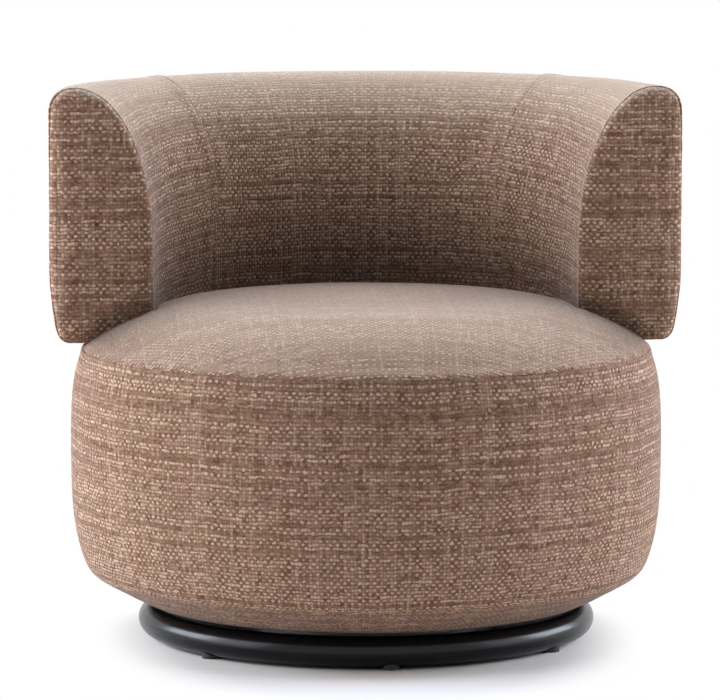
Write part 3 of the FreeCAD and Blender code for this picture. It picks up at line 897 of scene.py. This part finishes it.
@finish
def floor_paint(tree):
    """Pale floor that takes the chair's shadow and turns plain white away from it."""
    x, y, _ = tree.split(tree.place())
    x = x / SHADOW_REACH[0]
    y = y / SHADOW_REACH[1]
    away = (x * x + y * y).root().step(*SHADOW_FADE)
    paint = tree.mix(tree.ray("Diffuse"), (0.87, 0.86, 0.865), (0.85, 0.785, 0.73))
    diffuse = tree.add("BsdfDiffuse", {"Color": paint})
    glow = tree.add("Emission", {"Color": WHITE, "Strength": 1.0})
    seen = tree.ray("Camera") + tree.ray("Glossy")
    both = tree.add("MixShader", [(away * seen).clip(), diffuse, glow])
    tree.add("OutputMaterial", [both])


NODE_FINISHES = {
    black_metal: ("base_ring", "base_plate"),
    glide_plastic: ("floor_glides",),
    zinc_steel: (
        "swivel_lower_plate", "swivel_upper_plate", "lower_plate_bolts", "lower_plate_nuts",
        "upper_plate_screws", "upper_plate_tee_nuts", "pivot_washer", "pivot_nut",
        "back_bolts", "back_nuts",
    ),
    bearing_steel: ("bearing_balls", "pivot_spindle"),
    bush_bronze: ("pivot_bush",),
    cage_plastic: ("ball_cage",),
    plywood: (
        "bottom_board", "drum_ribs", "drum_top_ring", "drum_wall_panel", "back_posts",
        "back_bottom_rail", "back_top_rail", "back_ribs", "back_inner_panel", "back_outer_panel",
    ),
    strap_web: ("webbing_lengthwise", "webbing_crosswise"),
    dust_cloth: ("underside_cover",),
    foam: [pad for _, pad in PADDED],
}


def drum_wrap():
    """The drum's side, from the hem to the seat's seam."""
    s = sizes("soft_sizes")
    d = sizes("drum_sizes")
    line = drum_line()
    length = line_length(line)
    place, inward, run = along(line, stepped(length, s.cell))
    place = place + inward * (s.seam_depth * seam_share(length - run))[:, None]
    around = int(round(2 * pi * d.belly_radius / s.cell / 2)) * 2
    angle = np.linspace(pi / 2, pi / 2 + 2 * pi, around + 1)
    radius = np.repeat(place[:, :1], around + 1, 1)
    places = about_axis(radius, angle[None, :], place[:, 1:])
    weave = np.stack(np.broadcast_arrays(angle[None, :] * d.belly_radius, run[:, None]), -1)
    piece = grid_piece("drum_wrap", places, weave, closed=True)
    outward(piece, lambda p: Vector((AXIS.x, AXIS.y, p.z)))
    height = coordinates(piece)[:, 2]
    fill(piece, loosening(d.seam_z - height, *DRUM_TOP_HOLD) * loosening(height - d.hem_z, *HEM_HOLD))
    soften(piece, lambda co: np.abs(co[:, 2] - d.seam_z))
    finish_soft(piece, DRUM_NODES)


def seat_cushion():
    """The crowned seat, hidden under the back's foot where they meet."""
    s = sizes("soft_sizes")
    d = sizes("drum_sizes")
    b = sizes("back_sizes")
    under = b.radius - b.thickness

    def place(share, angle):
        radius = share * d.seam_radius
        y = radius * np.sin(angle)
        z = crown_height(radius)
        rim = (d.seam_radius - radius) * SEAT_GROOVE_TIGHTNESS
        z = z - s.seam_depth * 0.5 * seam_share(rim)
        radius = radius - s.seam_depth * seam_share(rim)
        hidden = (radius > under + HIDDEN_INSET) & (y > HIDDEN_SETBACK - b.end_reach)
        z = np.where(hidden, np.minimum(z, b.bottom_z - HIDDEN_DROP), z)
        return about_axis(radius, angle, z)

    def weave(share, angle):
        stretch = d.seam_radius * share * (1 + WEAVE_STRETCH * share**6)
        return np.stack([stretch * np.cos(angle), stretch * np.sin(angle)], -1)

    rims = 1 - np.cumsum(SEAT_RINGS)[::-1] / d.seam_radius
    piece = disc_piece("seat_cushion", SEAT_CELLS, rims, place, weave)
    outward(piece, lambda p: Vector((p.x, p.y, 0.0)))
    co = coordinates(piece)
    radius = np.hypot(co[:, 0] - AXIS.x, co[:, 1] - AXIS.y)
    free = loosening(d.seam_radius - radius, *SEAT_HOLD)
    free[(radius > under) & (co[:, 1] - AXIS.y > -b.end_reach)] = 0
    fill(piece, free)
    soften(piece, lambda co: d.seam_radius - np.hypot(co[:, 0] - AXIS.x, co[:, 1] - AXIS.y))
    finish_soft(piece, SEAT_NODES)


def end_stations():
    """Inset, reach and groove of the sections that round the arm end over, as far as its seam."""
    b = sizes("back_sizes")
    last = np.arccos(1 - b.end_seam / b.end_round)
    turns = np.linspace(0, last, 6)[1:]
    grooves = [0.0] * (len(turns) - 1) + [sizes("soft_sizes").fine_seam_depth]
    insets = [b.end_round * (1 - cos(t)) for t in turns]
    reaches = [b.end_reach - b.end_round * (1 - sin(t)) for t in turns]
    return list(zip(insets, reaches, grooves))


def wing_seam(run, length, side):
    """The angle of a wing's seam at each distance up the section: it bows towards the middle."""
    b = sizes("back_sizes")
    bow = b.wing_bow * np.exp(-((run / length - BOW_MIDDLE) / BOW_WIDTH) ** 2)
    return pi / 2 + side * (b.wing_angle - bow)


def rim_distance(co, rim):
    """Each point's distance from the nearest point of a rim, worked out in blocks."""
    rim = rim[::2]
    out = np.empty(len(co))
    for k in range(0, len(co), BLOCK):
        block = co[k:k + BLOCK]
        out[k:k + BLOCK] = np.sqrt(((block[:, None, :] - rim[None, :, :]) ** 2).sum(-1).min(1))
    return out


def pad_out(piece, rim, nodes):
    """Fills a panel that is sewn all round its rim."""
    fill(piece, loosening(rim_distance(coordinates(piece), rim), *PANEL_HOLD))
    soften(piece, lambda co: rim_distance(co, rim))
    finish_soft(piece, nodes)


def back_panel(name, section, first, last, tilt, nodes):
    """One panel of the back between two wing seams, -1 or 1, or round an arm end where it is None.

    tilt turns the weave."""
    b = sizes("back_sizes")
    s = sizes("soft_sizes")
    length = line_length(section)
    place, normal, run = along(section, stepped(length, s.cell))
    sunk = s.fine_seam_depth * seam_share(run) + s.fine_seam_depth * seam_share(length - run)
    end_y = b.end_round - b.end_reach
    lower_fixed = 0.0 if first is None else wing_seam(run, length, first)
    upper_fixed = pi if last is None else wing_seam(run, length, last)
    mean_radius = float(place[:, 0].mean())
    span = float(np.mean(upper_fixed - lower_fixed)) * mean_radius
    columns = []
    sweep = []

    def section_at(inset):
        depth = sunk + inset
        return place[:, 0] - normal[:, 0] * depth, place[:, 1] - normal[:, 1] * depth

    for w in stepped(span, s.cell):
        inset = 0.0
        if first is not None:
            inset = inset + s.seam_depth * seam_share(w)
        if last is not None:
            inset = inset + s.seam_depth * seam_share(span - w)
        r, z = section_at(inset)
        lower = np.arcsin(end_y / r) if first is None else lower_fixed
        upper = pi - np.arcsin(end_y / r) if last is None else upper_fixed
        angle = lower + (upper - lower) * w / span
        columns.append(about_axis(r, angle, z))
        sweep.append(angle * mean_radius)
    for right in (False, True):
        if (last if right else first) is not None:
            continue
        edge = sweep[-1] if right else sweep[0]
        travelled = 0.0
        before = (0.0, b.end_reach - b.end_round)
        for inset, reach, groove in end_stations():
            travelled += sqrt((inset - before[0]) ** 2 + (reach - before[1]) ** 2)
            before = (inset, reach)
            r, z = section_at(inset)
            across = np.arcsin(-(reach - groove) / r)
            columns.insert(len(columns) if right else 0, about_axis(r, pi - across if right else across, z))
            sweep.insert(len(sweep) if right else 0, edge + travelled if right else edge - travelled)
    places = np.stack(columns, 1)
    u = np.stack(sweep, 1)
    v = np.repeat(run[:, None], u.shape[1], 1)
    weave = np.stack([u * cos(tilt) + v * sin(tilt), v * cos(tilt) - u * sin(tilt)], -1)
    piece = grid_piece(name, places, weave)
    middle = b.radius - b.thickness * PAD_MIDDLE[0]

    def core(p):
        flat = Vector((p.x - AXIS.x, p.y - AXIS.y, 0.0)).normalized() * middle
        return Vector((AXIS.x + flat.x, AXIS.y + flat.y, PAD_MIDDLE[1]))

    outward(piece, core)
    co = coordinates(piece)
    edge_count = {}
    for face in piece.data.polygons:
        for key in face.edge_keys:
            edge_count[key] = edge_count.get(key, 0) + 1
    rim = np.array([co[k] for key, n in edge_count.items() if n == 1 for k in key])
    pad_out(piece, rim, nodes)


def end_outline():
    """The arm end's middle, and its seam's bearings and distances from there, in order."""
    inner_side, outer_side, underside = back_sides()
    outline = np.concatenate((inner_side, outer_side[1:], underside[1:-1]))
    fine = resampled(np.concatenate((outline, outline[:1])), OUTLINE_STEP)
    normal = left_of(np.roll(fine, -1, 0) - np.roll(fine, 1, 0))
    seam = fine - normal * sizes("back_sizes").end_seam
    centre = seam.mean(0)
    bearing = np.unwrap(np.arctan2(seam[:, 1] - centre[1], seam[:, 0] - centre[0]))
    distance = np.hypot(seam[:, 0] - centre[0], seam[:, 1] - centre[1])
    order = np.argsort(bearing)
    return centre, bearing[order], distance[order]


def arm_end(name, side, node):
    """The D-shaped panel on one arm's end: the left one where side is 1, the right one where it is -1."""
    b = sizes("back_sizes")
    s = sizes("soft_sizes")
    centre, bearing, distance = end_outline()

    def flat(share, angle):
        turn = (angle - bearing[0]) % (2 * pi) + bearing[0]
        out = share * np.interp(turn, bearing, distance)
        whole = out / np.maximum(share, 1e-9)
        return centre[0] + out * np.cos(angle), centre[1] + out * np.sin(angle), whole

    def place(share, angle):
        r, z, whole = flat(share, angle)
        inset = b.end_seam + (1 - share) * whole
        short = np.clip(1 - inset / b.end_round, 0, 0.98)
        fall = b.end_round * (1 - np.sqrt(1 - short**2))
        groove = s.fine_seam_depth * seam_share(inset - b.end_seam)
        dome = b.end_dome * (1 - np.clip(1 - inset / b.end_dome_width, 0, 1)**2)
        y = fall + groove + np.maximum(b.end_seam - inset, 0) - b.end_reach - dome
        x = np.sqrt(np.maximum(r**2 - y**2, 0))
        return np.stack([AXIS.x + side * x, AXIS.y + y, z], -1)

    def weave(share, angle):
        r, z, _ = flat(share, angle)
        return np.stack([side * r + END_WEAVE_SHIFT * side, z], -1)

    piece = disc_piece(name, END_CELLS, 1 - np.cumsum(END_RINGS)[::-1], place, weave)
    outward(piece, lambda p: Vector((p.x, AXIS.y + 0.1, p.z)))
    around = 8 * END_CELLS
    seam = coordinates(piece)[-2 * around:-around]
    pad_out(piece, seam, (node,))


class CHAIR_OT_drum(bpy.types.Operator):
    """Make the padded drum under the seat"""

    bl_idname = "chair.drum"
    bl_label = "Drum"

    def execute(self, context):
        drum_wrap()
        return {"FINISHED"}


class CHAIR_OT_seat(bpy.types.Operator):
    """Make the crowned seat cushion"""

    bl_idname = "chair.seat"
    bl_label = "Seat"

    def execute(self, context):
        seat_cushion()
        return {"FINISHED"}


class CHAIR_OT_back(bpy.types.Operator):
    """Make the back's five sewn panels"""

    bl_idname = "chair.back"
    bl_label = "Back"

    def execute(self, context):
        inner_side, outer_side, underside = back_sides()
        back_panel("back_centre", inner_side, -1, 1, 0.0, CENTRE_NODES)
        back_panel("back_wing_left", inner_side, None, -1, radians(5), LEFT_NODES)
        back_panel("back_wing_right", inner_side, 1, None, radians(-5), RIGHT_NODES)
        back_panel("back_outer", outer_side, None, None, 0.0, OUTER_NODES)
        back_panel("back_underside", underside, None, None, 0.0, ("back_bottom_cover",))
        return {"FINISHED"}


class CHAIR_OT_arm_ends(bpy.types.Operator):
    """Make the D-shaped panel on each arm end"""

    bl_idname = "chair.arm_ends"
    bl_label = "Arm ends"

    def execute(self, context):
        arm_end("arm_end_left", 1.0, "back_end_panel_left")
        arm_end("arm_end_right", -1.0, "back_end_panel_right")
        return {"FINISHED"}


class CHAIR_OT_finishes(bpy.types.Operator):
    """Give the frame's own parts their finishes"""

    bl_idname = "chair.finishes"
    bl_label = "Finishes"

    def execute(self, context):
        for give, nodes in NODE_FINISHES.items():
            for node in nodes:
                part = frame["nodes"][node]
                part.data.materials.clear()
                part.data.materials.append(give())
        return {"FINISHED"}


def panel_light(name, place, target, width, height, power, tint):
    """A soft rectangular lamp that faces a point."""
    lamp = bpy.data.lights.new(name, "AREA")
    lamp.shape = "RECTANGLE"
    lamp.size = width
    lamp.size_y = height
    lamp.energy = power
    lamp.color = tint
    holder = bpy.data.objects.new(name, lamp)
    bpy.context.scene.collection.objects.link(holder)
    holder.location = place
    holder.rotation_euler = (Vector(target) - Vector(place)).to_track_quat("-Z", "Y").to_euler()


class CHAIR_OT_studio(bpy.types.Operator):
    """Set the camera, the lights and the floor"""

    bl_idname = "chair.studio"
    bl_label = "Studio"

    def execute(self, context):
        look = sizes("studio_look")
        scene = context.scene
        lens = bpy.data.cameras.new("camera")
        lens.sensor_width = 36.0
        lens.lens = look.camera_lens
        lens.dof.use_dof = False
        camera = bpy.data.objects.new("camera", lens)
        scene.collection.objects.link(camera)
        camera.location = look.camera_place
        camera.rotation_euler = (pi / 2 - look.camera_tilt, 0.0, -look.camera_turn)
        scene.camera = camera
        scene.view_settings.view_transform = "Standard"

        middle = (0.0, 0.0, 0.35)
        for name, place, width, height, power, tint in (
            ("light_left", (-2.3, -0.5, 1.1), 2.0, 2.0, look.left_power, WHITE),
            ("light_right", (2.3, -0.5, 1.1), 2.0, 2.0, look.right_power, WHITE),
            ("light_rim_left", (-2.3, 0.5, 0.9), 1.4, 1.2, look.rim_power, look.cool),
            ("light_rim_right", (2.3, 0.5, 0.9), 1.4, 1.2, look.rim_power, look.cool),
            ("light_top", (0.0, -0.2, 2.6), 1.6, 1.6, look.top_power, look.cool),
            ("light_back", (0.0, 1.3, 2.6), 2.4, 1.4, look.back_power, look.cool),
        ):
            panel_light(name, place, middle, width, height, power, tint)

        room = bpy.data.worlds.new("room")
        scene.world = room
        tree = Tree(room)
        seen = (tree.ray("Camera") + tree.ray("Glossy") + tree.ray("Transmission")).clip()
        ambient = tree.add("Background", {"Color": WHITE, "Strength": look.ambient})
        white = tree.add("Background", {"Color": WHITE, "Strength": 1.0})
        both = tree.add("MixShader", [seen, ambient, white])
        tree.add("OutputWorld", [both])

        deselect()
        bpy.ops.mesh.primitive_plane_add(size=60.0)
        floor = context.object
        floor.name = "floor"
        floor.data.materials.append(floor_paint())
        return {"FINISHED"}


class CHAIR_PT_panel(bpy.types.Panel):
    """The armchair's tools"""

    bl_label = "Armchair"
    bl_space_type = "VIEW_3D"
    bl_region_type = "UI"
    bl_category = "Armchair"

    def draw(self, context):
        for tool in TOOLS:
            self.layout.operator(tool.bl_idname)
        for group in GROUPS:
            box = self.layout.box()
            owner = getattr(context.scene, group)
            for name in owner.bl_rna.properties.keys():
                if name not in ("rna_type", "name"):
                    box.prop(owner, name)


GROUPS = {
    "drum_sizes": DrumSizes,
    "back_sizes": BackSizes,
    "soft_sizes": SoftSizes,
    "fabric_look": FabricLook,
    "studio_look": StudioLook,
}
TOOLS = (
    CHAIR_OT_studio,
    CHAIR_OT_finishes,
    CHAIR_OT_drum,
    CHAIR_OT_seat,
    CHAIR_OT_back,
    CHAIR_OT_arm_ends,
)


def register():
    for group in GROUPS.values():
        bpy.utils.register_class(group)
    for name, group in GROUPS.items():
        setattr(bpy.types.Scene, name, bpy.props.PointerProperty(type=group))
    for tool in (*TOOLS, CHAIR_PT_panel):
        bpy.utils.register_class(tool)


def unregister():
    for tool in (CHAIR_PT_panel, *TOOLS[::-1]):
        bpy.utils.unregister_class(tool)
    for name in GROUPS:
        delattr(bpy.types.Scene, name)
    for group in reversed(list(GROUPS.values())):
        bpy.utils.unregister_class(group)


def main():
    register()
    bpy.ops.chair.studio()
    bpy.ops.chair.finishes()
    bpy.ops.chair.drum()
    bpy.ops.chair.seat()
    bpy.ops.chair.back()
    bpy.ops.chair.arm_ends()


if __name__ == "__main__":
    main()
